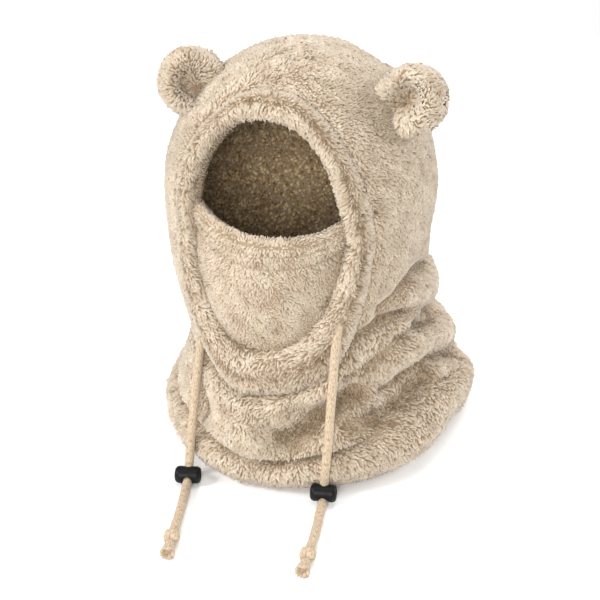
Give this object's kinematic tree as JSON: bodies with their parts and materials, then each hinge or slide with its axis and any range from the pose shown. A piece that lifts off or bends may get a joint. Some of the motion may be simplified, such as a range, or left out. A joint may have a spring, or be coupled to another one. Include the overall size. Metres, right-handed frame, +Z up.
{
  "type": "animal ear hat",
  "caption": "Standing plush balaclava hood with round ears, padded face opening, mask panel, gathered neck, rolled hem and drawcords with barrel locks.",
  "frame": {"origin": "centre of the foot of the hem's bounding box, on the surface that the hood stands on, without the free cords", "axes": "+Z up through the crown, -Y out of the face opening, +X to the right of someone who looks at the face opening"},
  "size_m": [0.2488, 0.3644, 0.307],
  "materials": {
    "plush": "deep beige pile, matt",
    "drawcord": "round braided cord, matt",
    "cord_lock_plastic": "black, satin"
  },
  "bodies": {
    "root": {"hood_shell": "plush", "face_band": "plush", "face_mask": "plush", "neck_gaiter": "plush", "hem_band": "plush", "ear_left": "plush", "ear_right": "plush", "cord_left": "drawcord", "cord_lock_left": "cord_lock_plastic", "cord_knot_left": "drawcord", "cord_tip_left": "drawcord", "cord_right": "drawcord", "cord_lock_right": "cord_lock_plastic", "cord_knot_right": "drawcord", "cord_tip_right": "drawcord"}
  },
  "joints": []
}
